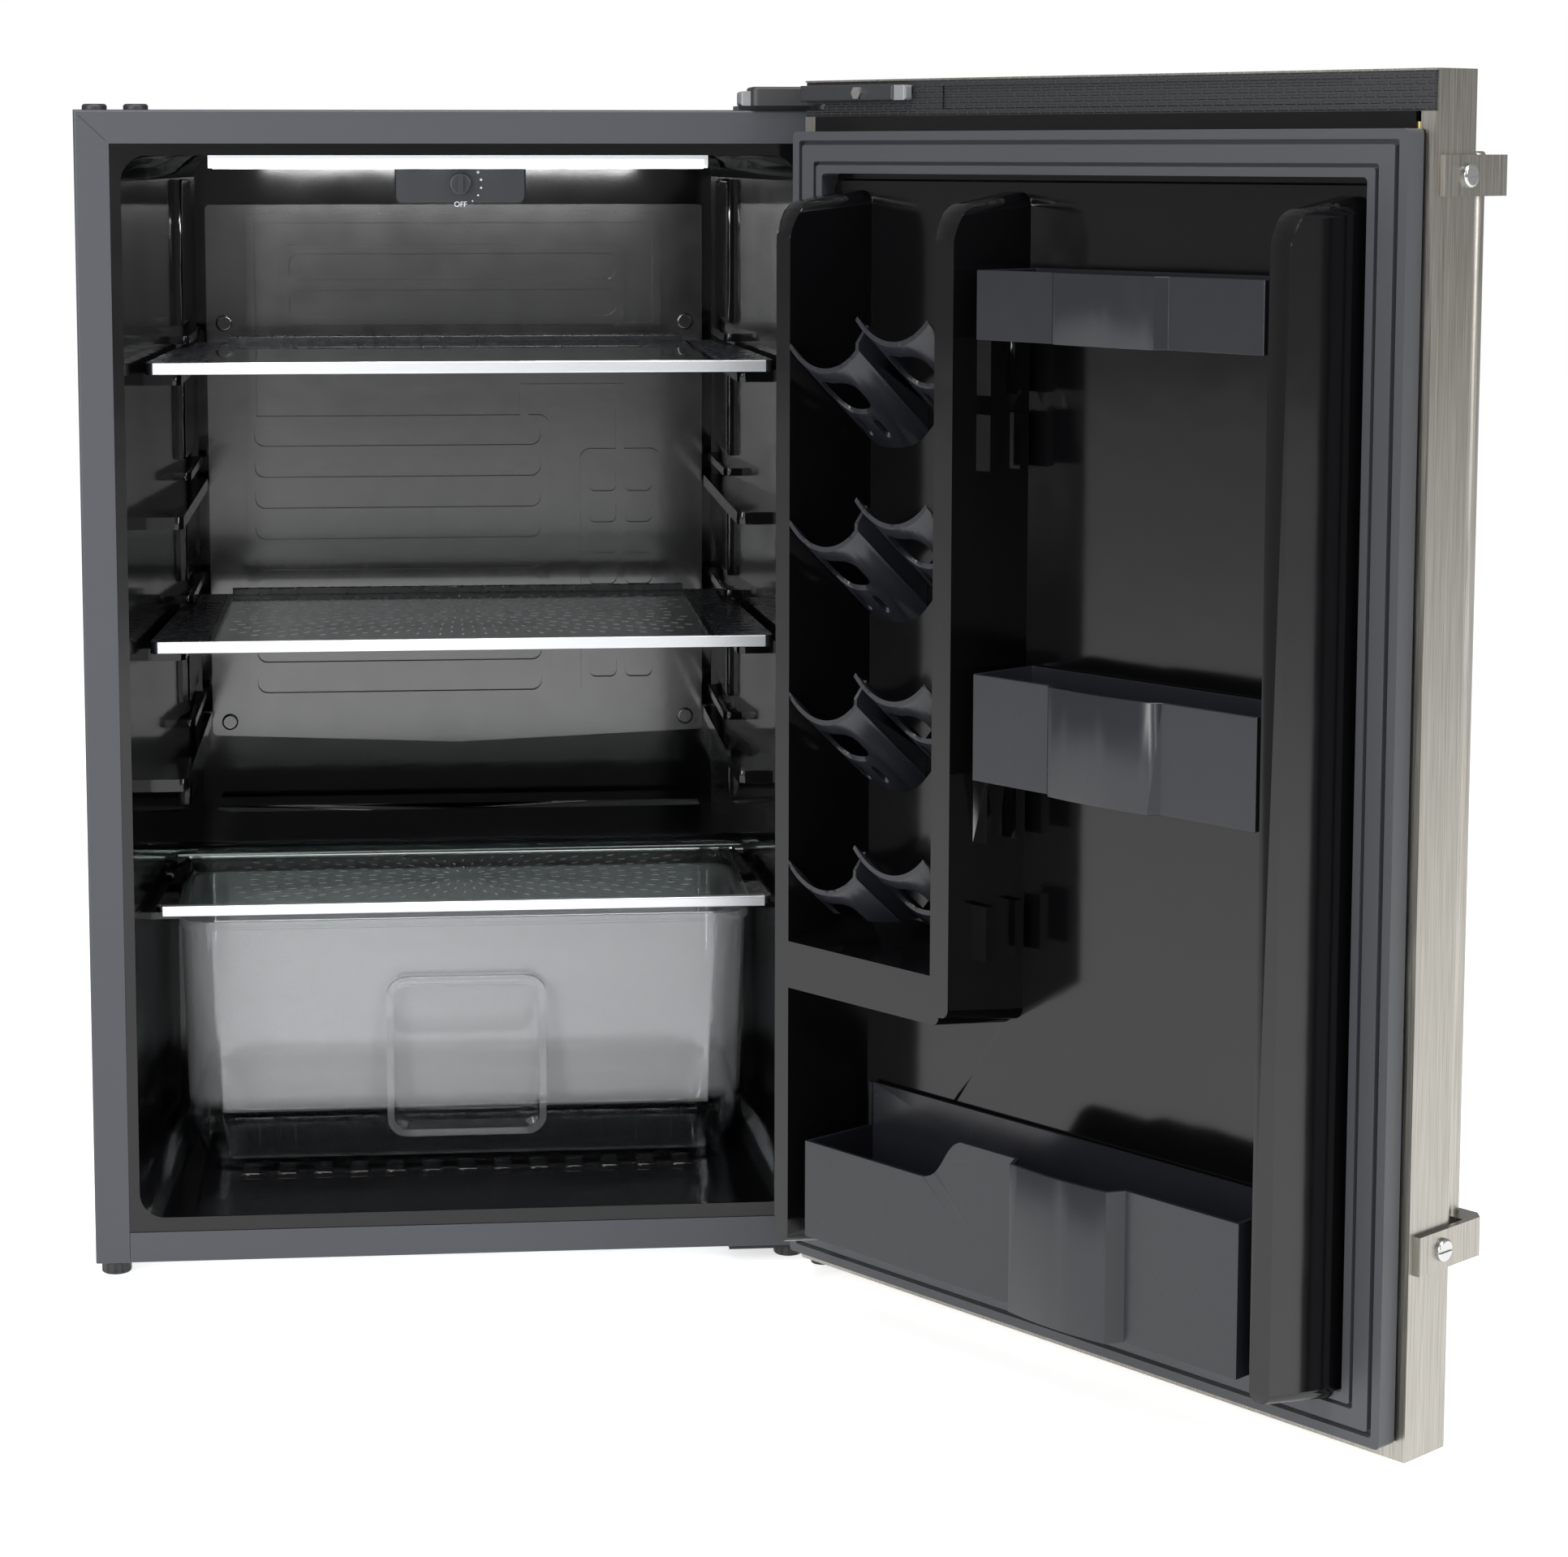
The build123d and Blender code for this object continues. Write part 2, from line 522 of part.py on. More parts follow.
# ---------------------------------------------------------------- hinges on the cabinet
TONGUE = 8.0
with BuildPart() as top_hinge_plate:
    with BuildSketch(Plane.XY.offset(CABINET_TOP)):
        with BuildLine():
            Polyline((HINGE_X - TONGUE, HINGE_Y), (HINGE_X - TONGUE, 4), (192, 4), (192, 52),
                     (HINGE_X + TONGUE, 52), (HINGE_X + TONGUE, HINGE_Y))
            ThreePointArc((HINGE_X + TONGUE, HINGE_Y), (HINGE_X, HINGE_Y - TONGUE),
                          (HINGE_X - TONGUE, HINGE_Y))
        make_face()
        with Locations((HINGE_X, HINGE_Y)):
            Circle(HINGE_PIN, mode=Mode.SUBTRACT)
        with Locations((206, 40), (250, 40)):
            Circle(2.6, mode=Mode.SUBTRACT)
    extrude(amount=3)
    fillet(top_hinge_plate.edges().filter_by(Axis.Z).sort_by(Axis.Y)[-2:], 6)
keep(top_hinge_plate.part, "top_hinge_plate", "cabinet")

with BuildPart() as top_hinge_pin:
    upright(HINGE_PIN, HINGE_X, HINGE_Y, (CABINET_TOP, 836))
    chamfer(top_hinge_pin.edges().group_by(Axis.Z)[-1], 1)
keep(top_hinge_pin.part, "top_hinge_pin", "cabinet")

with BuildPart() as top_hinge_cover:
    block((200, 262), (-4, 34), (CABINET_TOP + 3, 838))
    fillet(top_hinge_cover.edges().filter_by(Axis.Z), 5)
    fillet(top_hinge_cover.edges().group_by(Axis.Z)[-1], 2)
keep(top_hinge_cover.part, "top_hinge_cover", "cabinet")

with BuildPart() as top_hinge_end_cap:
    block((193, 200), (0, 30), (CABINET_TOP + 3, 835))
    fillet(top_hinge_end_cap.edges().group_by(Axis.X)[0], 2)
keep(top_hinge_end_cap.part, "top_hinge_end_cap", "cabinet")

with BuildPart() as top_hinge_screws:
    for x in (206, 250):
        with BuildSketch(Plane.XY.offset(CABINET_TOP + 3)):
            with Locations((x, 40)):
                RegularPolygon(5, 6)
        extrude(amount=4)
        upright(2.5, x, 40, (CABINET_TOP, CABINET_TOP + 4))
keep(top_hinge_screws.part, "top_hinge_screws", "cabinet")

with BuildPart() as bottom_hinge_plate:
    with BuildSketch(Plane.XY.offset(CABINET_BOTTOM - 3)):
        with BuildLine():
            Polyline((HINGE_X - TONGUE, HINGE_Y), (HINGE_X - TONGUE, 3), (186, 3), (186, 46),
                     (HINGE_X + TONGUE, 46), (HINGE_X + TONGUE, HINGE_Y))
            ThreePointArc((HINGE_X + TONGUE, HINGE_Y), (HINGE_X, HINGE_Y - TONGUE),
                          (HINGE_X - TONGUE, HINGE_Y))
        make_face()
        with Locations(FOOT_SPOTS["right_front_foot"]):
            Circle(FOOT_STEM + FOOT_PLAY, mode=Mode.SUBTRACT)
    extrude(amount=3)
    upright(HINGE_PIN, HINGE_X, HINGE_Y, (CABINET_BOTTOM - 3, 30))  # the pin is riveted into the plate
keep(bottom_hinge_plate.part, "bottom_hinge_plate", "cabinet")

with BuildPart() as bottom_hinge_screws:
    for x, y in ((194, 16), (194, 38), (208, 16)):
        with BuildSketch(Plane.XY.offset(CABINET_BOTTOM - 3)):
            with Locations((x, y)):
                RegularPolygon(4.5, 6)
        extrude(amount=-3)
keep(bottom_hinge_screws.part, "bottom_hinge_screws", "cabinet")

with BuildPart() as hole_plugs:  # caps over the hinge holes that the other hand would use
    for x in (-250, -222):
        upright(8.5, x, 14, (CABINET_TOP, CABINET_TOP + 4))
    fillet(hole_plugs.edges().group_by(Axis.Z)[-1], 2)
keep(hole_plugs.part, "hole_plugs", "cabinet")

# ---------------------------------------------------------------- door: steel skin, caps and foam
door_left, door_right = -DOOR_HALF, DOOR_HALF
slot_x = (HINGE_X - TONGUE - 0.8, DOOR_HALF + 1)
slot_y = (-49.5, door_back + 1)
slot_z = (CABINET_TOP - 0.6, CABINET_TOP + 3.6)

with BuildPart() as door_skin:
    block((door_left, door_right), (door_front, door_back), (DOOR_BOTTOM, DOOR_TOP))
    fillet(door_skin.edges().group_by(Axis.Y)[0].filter_by(Axis.Z), 6)
    inner_x = (door_left + SKIN, door_right - SKIN)
    inner_z = (DOOR_BOTTOM + SKIN, DOOR_TOP - SKIN)
    block(inner_x, (door_front + SKIN, door_back - SKIN), inner_z, Mode.SUBTRACT)
    opening_z = (DOOR_BOTTOM + 10, DOOR_TOP - SKIN)
    block((door_left + 10, door_right - 10), (door_back - 3, door_back + 1), opening_z, Mode.SUBTRACT)
    cap_z = (CAP_BOTTOM, DOOR_TOP - SKIN)
    block((door_left - 1, door_right + 1), (door_back - 3, door_back + 1), cap_z, Mode.SUBTRACT)
    block(slot_x, slot_y, cap_z, Mode.SUBTRACT)
    upright(7, HINGE_X, HINGE_Y, (DOOR_BOTTOM - 1, DOOR_BOTTOM + 3), Mode.SUBTRACT)
keep(door_skin.part, "door_skin", "door")

cap_x = (door_left + SKIN, door_right - SKIN)
with BuildPart() as door_top_cap:
    block(cap_x, (door_front + SKIN, door_back), (CAP_BOTTOM, DOOR_TOP - SKIN))
    fillet(door_top_cap.edges().group_by(Axis.Y)[0].filter_by(Axis.Z), 5)
    block((cap_x[0] + 3, 222), (door_front + SKIN + 3, door_back - 3), (CAP_BOTTOM - 1, DOOR_TOP - SKIN - 3), Mode.SUBTRACT)
    block(slot_x, slot_y, slot_z, Mode.SUBTRACT)
    upright(7, HINGE_X, HINGE_Y, (slot_z[1] - 1, 837), Mode.SUBTRACT)
    block((-200, 130), (door_back - 1.2, door_back + 1), (CAP_BOTTOM + 4, DOOR_TOP - 5), Mode.SUBTRACT)
keep(door_top_cap.part, "door_top_cap", "door")

with BuildPart() as top_bush:
    upright(7, HINGE_X, HINGE_Y, (slot_z[1], 837))
    upright(HINGE_PIN + PIN_PLAY, HINGE_X, HINGE_Y, (slot_z[1] - 1, 838), Mode.SUBTRACT)
keep(top_bush.part, "top_bush", "door")

with BuildPart() as bottom_bush:
    upright(7, HINGE_X, HINGE_Y, (DOOR_BOTTOM, 32))
    upright(HINGE_PIN + PIN_PLAY, HINGE_X, HINGE_Y, (DOOR_BOTTOM - 1, 30.6), Mode.SUBTRACT)
keep(bottom_bush.part, "bottom_bush", "door")


# ---------------------------------------------------------------- door liner and what it carries
def wall(foot_s, foot_z, tip_s, tip_z, height, inset):
    """One raised wall of the door liner, a tapering block that can be drawn smaller by inset."""
    with BuildPart(mode=Mode.PRIVATE) as made:
        for level, span_s, span_z, radius in ((0, foot_s, foot_z, 9), (height - inset, tip_s, tip_z, 6)):
            centre = (DOOR_HALF - sum(span_s) / 2, sum(span_z) / 2)
            size = [high - low - 2 * inset for low, high in (span_s, span_z)]
            with BuildSketch(facing(door_back + level)):
                with Locations(centre):
                    RectangleRounded(size[0], size[1], min(radius, min(size) / 2 - 0.3))
        loft()
    return made.part


def liner_walls(inset):
    """All the raised walls of the door liner."""
    with BuildPart(mode=Mode.PRIVATE) as made:
        add(wall((35, 484), (40, 776), (37, 482), (42, 774), 8, inset))
        add(wall((38, 74), (43, 769), (47, 60), (54, 759), WALL_HEIGHT, inset))
        add(wall((450, 481), (43, 769), (457, 472), (54, 759), WALL_HEIGHT, inset))
        add(wall((184, 216), (226, 769), (192, 208), (238, 759), WALL_HEIGHT, inset))
        add(wall((46, 206), (222, 280), (54, 200), (232, 264), WALL_HEIGHT, inset))
        with BuildSketch(Plane.YZ):  # the round shoulders at the top of the upright walls
            with BuildLine():
                low = (door_back + WALL_HEIGHT + 0.5 - inset, 722)
                high = (door_back + 30, 771 - inset)
                Polyline(low, (door_back + 90, 722), (door_back + 90, 790), (door_back + 30, 790), high)
                ThreePointArc(high, (door_back + 61 - 0.7 * inset, 758 - 0.7 * inset), low)
            make_face()
        extrude(amount=DOOR_HALF, both=True, mode=Mode.SUBTRACT)
    return made.part


outer_walls = liner_walls(0)
inner_walls = liner_walls(2.4)
with BuildPart() as door_liner:
    block((door_left + 12, door_right - 12), (door_back, door_back + 2.4), (DOOR_BOTTOM + 12, CAP_BOTTOM))
    add(outer_walls)
    for low, high in ((640, 675.6), (592, 628), (352, 394.6), (275, 311)):
        for n in (16, 44):
            block((DOOR_HALF - 222.2, DOOR_HALF - 209), (door_back + n, door_back + n + 8), (low, high))
    for low, high in ((640, 675.6), (352, 394.6)):
        block((DOOR_HALF - 460, DOOR_HALF - 446), (door_back + 20, door_back + 50), (low, high))
    for ends in ((68, 84), (445, 458)):  # the ledges under the bottom bin
        x = sorted((DOOR_HALF - ends[0], DOOR_HALF - ends[1]))
        block(x, (door_back + 7, door_back + 50), (54, 63.6))
    add(inner_walls, mode=Mode.SUBTRACT)
keep(door_liner.part, "door_liner", "door")

with BuildPart() as door_foam:
    block((door_left + SKIN, door_right - SKIN), (door_front + SKIN, door_back), (DOOR_BOTTOM + SKIN, CAP_BOTTOM - 6))
    fillet(door_foam.edges().group_by(Axis.Y)[0].filter_by(Axis.Z), 5)
    for side in (-1, 1):
        block(sorted((side * (DOOR_HALF - 11), side * DOOR_HALF)), (door_back - SKIN, door_back + 1),
              (0, CAP_BOTTOM + 1), Mode.SUBTRACT)
    block((door_left, door_right), (door_back - SKIN, door_back + 1), (0, DOOR_BOTTOM + 10), Mode.SUBTRACT)
    add(inner_walls)
    upright(7, HINGE_X, HINGE_Y, (0, 32), Mode.SUBTRACT)
keep(door_foam.part, "door_foam", "door")

GASKET = DOOR_GAP - 0.4
with BuildPart() as door_gasket:
    with BuildSketch(facing(door_back + 2.4)):
        with Locations((0, (24 + 807) / 2)):
            RectangleRounded(2 * (DOOR_HALF - 6), 807 - 24, 3)
            RectangleRounded(2 * (DOOR_HALF - 34), 779 - 52, 3, mode=Mode.SUBTRACT)
    extrude(amount=-(GASKET - 2.4))
    with BuildSketch(facing(door_back + GASKET - 5)):  # the hollow behind the magnet strip's lips
        with Locations((0, (24 + 807) / 2)):
            RectangleRounded(2 * (DOOR_HALF - 12), 807 - 36, 2)
            RectangleRounded(2 * (DOOR_HALF - 15), 807 - 42, 2, mode=Mode.SUBTRACT)
            RectangleRounded(2 * (DOOR_HALF - 26), 807 - 64, 2)
            RectangleRounded(2 * (DOOR_HALF - 28.5), 807 - 69, 2, mode=Mode.SUBTRACT)
    extrude(amount=-6, mode=Mode.SUBTRACT)
    add(outer_walls, mode=Mode.SUBTRACT)
keep(door_gasket.part, "door_gasket", "door")

RACK_TIPS = (662.0, 544.5, 429.0, 314.5)
TROUGH = 32.0  # half width of a trough
TROUGH_DEPTH = 12.0
with BuildPart() as rack_room:  # the space between the lane's walls
    with BuildSketch(Plane.XY.offset(282)):
        with BuildLine():
            Polyline(at_door(74.6, 8.3), at_door(183.4, 8.3), at_door(191.4, 74), at_door(60.6, 74), close=True)
        make_face()
    extrude(amount=520)

with BuildPart() as can_racks:
    for tip in RACK_TIPS:
        for s, lift in ((94, 0), (156, 20)):
            x, y = at_door(s, 76)
            slope = Plane(origin=(x, y, tip + lift + 6), x_dir=(1, 0, 0), z_dir=(0, -0.77, -0.64))
            with BuildSketch(slope):
                with BuildLine():
                    ThreePointArc((-TROUGH, 0), (0, -TROUGH_DEPTH), (TROUGH, 0))
                trace(line_width=2.6)
                if lift == 0:  # the web up to the neighbouring trough
                    with Locations((1.3 - TROUGH, 8)):
                        Rectangle(2.6, 19)
            extrude(amount=96)
    add(rack_room.part, mode=Mode.INTERSECT)
    for tip in RACK_TIPS:  # a round-cornered window and two short slots in each trough
        for s, lift in ((94, 0), (156, 20)):
            with BuildSketch(Plane.XY.offset(tip + lift - 90)):
                with Locations(at_door(s, 53)):
                    RectangleRounded(32, 26, 10)
                with Locations(at_door(s - 8, 27), at_door(s + 8, 27)):
                    RectangleRounded(5, 15, 2.4)
            extrude(amount=98, mode=Mode.SUBTRACT)
keep(can_racks.part, "can_racks", "door")


# ---------------------------------------------------------------- door bins
def bin_solid(left_s, right_s, depth, bulge, swell_s, span_z, inset):
    """A solid bin block between two s values, with its swollen front, smaller by inset."""
    low, high = span_z
    with BuildPart(mode=Mode.PRIVATE) as made:
        with BuildSketch(Plane.XY.offset(low)):
            with BuildLine():
                start, end = at_door(left_s, depth), at_door(right_s, depth)
                swell = (swell_s - 46, swell_s + 46)
                low_crest, high_crest = at_door(swell[0] + 6, depth + bulge - 3), at_door(swell[1] - 6, depth + bulge - 3)
                Polyline(at_door(left_s + 2, 10), start, at_door(swell[0], depth), low_crest)
                ThreePointArc(low_crest, at_door(swell_s, depth + bulge), high_crest)
                Polyline(high_crest, at_door(swell[1], depth), end, at_door(right_s - 2, 10), at_door(left_s + 2, 10))
            make_face()
            offset(amount=-inset - 0.01)
        extrude(amount=high - low)
    return made.part


def door_bin(name, left_s, right_s, depth, bulge, swell_s, low, high, notch=None):
    """A clear bin that lifts off the lugs under its ends."""
    with BuildPart() as made:
        add(bin_solid(left_s, right_s, depth, bulge, swell_s, (low, high), 0))
        add(bin_solid(left_s, right_s, depth, bulge, swell_s, (low + 2.6, high + 1), 2.6), mode=Mode.SUBTRACT)
        if notch:
            with BuildSketch(facing(door_back + 14)):
                with BuildLine():
                    x0, x1 = DOOR_HALF - 228, DOOR_HALF - 184
                    Spline((x0, high + 1), ((x0 + x1) / 2, (high + notch) / 2), (x1, notch),
                           tangents=((1, 0), (1, 0)))
                    Polyline((x1, notch), (DOOR_HALF, notch), (DOOR_HALF, high + 1), (x0, high + 1))
                make_face()
            extrude(amount=-90, mode=Mode.SUBTRACT)
    keep(made.part, name, name)


door_bin("upper_bin", 220.2, 447.8, 64, 9, 330, 676, 720)
door_bin("middle_bin", 220.2, 447.8, 64, 9, 330, 395, 464)
door_bin("bottom_bin", 78, 447.8, 73, 14, 314, 64, 160, 130)

# ---------------------------------------------------------------- door handle and hinge arm
HANDLE_X = -242.0
HANDLE_Y = door_front - 17
with BuildPart() as handle_tube:
    upright(7.5, HANDLE_X, HANDLE_Y, (126, 794))
    fillet(handle_tube.edges().filter_by(GeomType.CIRCLE), 2)
keep(handle_tube.part, "handle_tube", "door")

with BuildPart() as handle_brackets:
    for low in (128, 768):
        block((door_left - 4, door_left), (door_front - 28, door_back - 5), (low, low + 24))
        block((door_left - 4, HANDLE_X + 12), (door_front - 28, door_front - 24), (low, low + 24))
        block((door_left, HANDLE_X + 12), (door_front - 28, door_front - 10), (low, low + 24))
    chamfer(handle_brackets.edges().filter_by(Axis.Z).group_by(Axis.Y)[0].group_by(Axis.X)[0], 6)
    upright(7.5, HANDLE_X, HANDLE_Y, (100, 800), Mode.SUBTRACT)
keep(handle_brackets.part, "handle_brackets", "door")

with BuildPart() as handle_screws:
    for low in (128, 768):
        with BuildSketch(Plane.YZ.offset(door_left - 4)):
            with Locations((-46, low + 12)):
                Circle(7)
        extrude(amount=-3)
    fillet(handle_screws.edges().filter_by(GeomType.CIRCLE).group_by(Axis.X)[0], 1.5)
    for low in (128, 768):
        block((door_left - 8, door_left - 6), (-53, -39), (low + 11, low + 13), Mode.SUBTRACT)
keep(handle_screws.part, "handle_screws", "door")

with BuildPart() as door_hinge_arm:
    block((DOOR_HALF - 92, DOOR_HALF - 3), (door_back, door_back + 9), (827, 838))
    fillet(door_hinge_arm.edges().group_by(Axis.Y)[-1], 2)
keep(door_hinge_arm.part, "door_hinge_arm", "door")

with BuildPart() as door_arm_end_cap:
    block((DOOR_HALF - 102, DOOR_HALF - 92), (door_back, door_back + 8), (827.5, 837.5))
    fillet(door_arm_end_cap.edges().group_by(Axis.X)[0], 2)
keep(door_arm_end_cap.part, "door_arm_end_cap", "door")

with BuildPart() as door_arm_screw:
    with BuildSketch(facing(door_back + 9)):
        with Locations((DOOR_HALF - 60, 832.5)):
            RegularPolygon(4.4, 6)
    extrude(amount=-3)
keep(door_arm_screw.part, "door_arm_screw", "door")

# ---------------------------------------------------------------- swing the door open, centre and export
ON_DOOR = ("door", "upper_bin", "middle_bin", "bottom_bin")
hinge_axis = Axis((HINGE_X, HINGE_Y, 0), (0, 0, 1))
placed = {}
for body, pieces in bodies.items():
    for piece in pieces:
        placed[piece.label] = piece.rotate(hinge_axis, STORED_ANGLE) if body in ON_DOOR else piece

box = placed["outer_shell"].bounding_box()
for piece in placed.values():
    box = box.add(piece.bounding_box())
shift = Location((-(box.min.X + box.max.X) / 2, -(box.min.Y + box.max.Y) / 2, -box.min.Z))
os.makedirs("parts", exist_ok=True)
for name, piece in placed.items():
    moved = piece.moved(shift)
    moved.label = name
    export_step(moved, f"parts/{name}.step")
print("shift", shift.position, "box", box.size)
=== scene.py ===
"""Under-counter larder refrigerator: the looks of every piece, put together in the order of assembly."""

import math

import bpy
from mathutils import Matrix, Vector


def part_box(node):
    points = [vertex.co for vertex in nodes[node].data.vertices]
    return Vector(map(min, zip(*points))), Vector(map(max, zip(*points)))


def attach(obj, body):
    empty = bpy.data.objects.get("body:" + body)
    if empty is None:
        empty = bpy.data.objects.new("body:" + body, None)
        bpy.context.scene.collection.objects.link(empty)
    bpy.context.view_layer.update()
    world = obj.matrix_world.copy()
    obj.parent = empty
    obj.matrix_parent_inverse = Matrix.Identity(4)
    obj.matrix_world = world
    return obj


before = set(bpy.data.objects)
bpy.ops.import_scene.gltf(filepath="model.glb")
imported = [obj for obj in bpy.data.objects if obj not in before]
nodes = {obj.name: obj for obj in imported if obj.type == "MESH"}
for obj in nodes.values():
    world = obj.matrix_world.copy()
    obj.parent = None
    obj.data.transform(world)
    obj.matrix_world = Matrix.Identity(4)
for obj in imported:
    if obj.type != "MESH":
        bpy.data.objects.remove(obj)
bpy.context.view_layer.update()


# ---------------------------------------------------------------- cabinet wrap
# One sheet of cold rolled steel folded round top and sides, with a hemmed flange at the front.
# It is sprayed with a charcoal polyester powder that dries to a fine, slightly sparkling orange peel.
def linear(hex_colour):
    """The linear RGBA of an sRGB hex colour such as "2b2d31"."""
    levels = [int(hex_colour[start:start + 2], 16) / 255 for start in (0, 2, 4)]
    return [v / 12.92 if v <= 0.04045 else ((v + 0.055) / 1.055) ** 2.4 for v in levels] + [1.0]


def add_node(tree, kind, settings=None, links=None):
    """Adds one shader node, sets its properties or sockets, and links sockets from other nodes."""
    made = tree.nodes.new("ShaderNode" + kind)
    for name, value in (settings or {}).items():
        if name in made.inputs:
            made.inputs[name].default_value = value
        else:
            setattr(made, name, value)
    for name, (source, output) in (links or {}).items():
        tree.links.new(source.outputs[output], made.inputs[name])
    return made


def new_finish(name, settings):
    """A material with one Principled shader; returns the material, its tree and its shader."""
    made = bpy.data.materials.new(name)
    made.use_nodes = True
    shader = made.node_tree.nodes["Principled BSDF"]
    for socket, value in settings.items():
        shader.inputs[socket].default_value = value
    return made, made.node_tree, shader


def finish_nodes(material, *names):
    """Gives the named pieces this finish."""
    for name in names:
        nodes[name].data.materials.clear()
        nodes[name].data.materials.append(material)


def grained(name, settings, grain_mm, depth_mm, rough, stretch=(1, 1, 1), detail=3.0):
    """A finish whose surface has an even grain: a noise that moves roughness and drives the bump."""
    made, tree, shader = new_finish(name, settings)
    place = add_node(tree, "TexCoord")
    fit = add_node(tree, "Mapping", {"Scale": stretch}, {"Vector": (place, "Object")})
    noise = add_node(tree, "TexNoise", {"Scale": 1000 / grain_mm, "Detail": detail}, {"Vector": (fit, "Vector")})
    spread = add_node(tree, "MapRange", {"To Min": rough[0], "To Max": rough[1]}, {"Value": (noise, "Fac")})
    bump = add_node(tree, "Bump", {"Strength": 0.35, "Distance": depth_mm / 1000}, {"Height": (noise, "Fac")})
    tree.links.new(spread.outputs["Result"], shader.inputs["Roughness"])
    tree.links.new(bump.outputs["Normal"], shader.inputs["Normal"])
    return made


def soften(width_mm, *names):
    """Rounds the sharp edges of these pieces by width_mm, as moulding or bending leaves them."""
    for name in names:
        weld = nodes[name].modifiers.new("joined faces", "WELD")
        weld.merge_threshold = 0.00002
        bevel = nodes[name].modifiers.new("soft edges", "BEVEL")
        bevel.width = width_mm / 1000
        bevel.segments = 2
        bevel.limit_method = "ANGLE"
        bevel.angle_limit = math.radians(40)
        bevel.harden_normals = True


powder_coat = grained("charcoal powder coated steel", {"Base Color": linear("34363b"), "IOR": 1.5,
                      "Metallic": 0.25, "Specular IOR Level": 0.5},
                      grain_mm=0.9, depth_mm=0.12, rough=(0.36, 0.52))
finish_nodes(powder_coat, "outer_shell", "bottom_rail")


# ---------------------------------------------------------------- galvanised sheet
# Base, back and compressor bay are pressed from hot dip galvanised sheet, spot welded together.
# The zinc's spangle shows as soft patches a few millimetres wide.
zinc, zinc_tree, zinc_shader = new_finish("hot dip galvanised steel", {"Metallic": 1.0, "Roughness": 0.42})
zinc_place = add_node(zinc_tree, "TexCoord")
spangle = add_node(zinc_tree, "TexVoronoi", {"Scale": 1000 / 9}, {"Vector": (zinc_place, "Object")})
spangle_tone = add_node(zinc_tree, "ValToRGB", {}, {"Fac": (spangle, "Color")})
spangle_tone.color_ramp.elements[0].color = linear("9a9da0")
spangle_tone.color_ramp.elements[1].color = linear("b9bcbf")
zinc_tree.links.new(spangle_tone.outputs["Color"], zinc_shader.inputs["Base Color"])
finish_nodes(zinc, "back_panel", "base_plate", "bay_panel", "cord_gland")


# ---------------------------------------------------------------- cabin liner
# One vacuum formed sheet of black high impact polystyrene, snapped under the steel flange.
# Drawn over the mould it is glossy, with a faint long ripple that bends its highlights.
def glossy_moulding(name, colour, ripple_mm, depth_mm, rough):
    """Gloss plastic with the slow ripple of a formed sheet and a fine clouding of its gloss."""
    return grained(name, {"Base Color": linear(colour), "IOR": 1.5, "Specular IOR Level": 0.35},
                   grain_mm=ripple_mm, depth_mm=depth_mm, rough=rough, detail=1.0)


gloss_liner = glossy_moulding("vacuum formed gloss polystyrene, cabin", "060607", 40, 0.5, (0.07, 0.13))
finish_nodes(gloss_liner, "inner_liner")
soften(1.2, "inner_liner")

# ---------------------------------------------------------------- insulation
# Polyurethane foam blown between liner and steel; it shows through the drain's opening and, at the door,
# through the open front corners of the skin.
# It is cream coloured with open cells about a millimetre across.
foam = grained("rigid polyurethane foam", {"Base Color": linear("d9c58b"), "IOR": 1.5}, 1.2, 0.5, (0.8, 0.95))
finish_nodes(foam, "cabinet_foam", "door_foam")

# ---------------------------------------------------------------- evaporator
# A roll bonded aluminium plate whose channels are blown up from one side, coated in black epoxy.
# Four black plastic standoffs hold it off the back wall.
epoxy_plate = grained("black epoxy coated aluminium", {"Base Color": linear("0c0c0e"), "IOR": 1.55,
                      "Specular IOR Level": 0.8, "Coat Weight": 0.6, "Coat Roughness": 0.08},
                      22, 0.3, (0.16, 0.24), detail=2.0)
finish_nodes(epoxy_plate, "evaporator_plate", "evaporator_studs")
soften(1.9, "evaporator_plate")

# ---------------------------------------------------------------- cabin light
# An LED board in a white housing behind an opal acrylic lens that glows cold white.
# Ten diodes show through as brighter spots along the strip.
white_plastic = grained("white ABS, moulded", {"Base Color": linear("e6e8ea"), "IOR": 1.54},
                        0.6, 0.03, (0.35, 0.45))
finish_nodes(white_plastic, "light_housing", "drain_tray", "drain_tube")
lens_low, lens_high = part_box("light_lens")
DIODES = 10
diode_pitch = (lens_high[0] - lens_low[0]) / DIODES
opal, opal_tree, opal_shader = new_finish("opal acrylic, lit from behind", {"Base Color": linear("f4f8ff"),
                                          "Roughness": 0.25, "IOR": 1.49, "Emission Color": linear("eaf2ff")})
opal_place = add_node(opal_tree, "TexCoord")
diode_wave = add_node(opal_tree, "TexWave", {"Scale": math.pi / 10 / diode_pitch, "wave_profile": "SIN"},
                      {"Vector": (opal_place, "Object")})
diode_level = add_node(opal_tree, "MapRange", {"To Min": 1.5, "To Max": 3.5}, {"Value": (diode_wave, "Fac")})
opal_tree.links.new(diode_level.outputs["Result"], opal_shader.inputs["Emission Strength"])
finish_nodes(opal, "light_lens", "light_board")

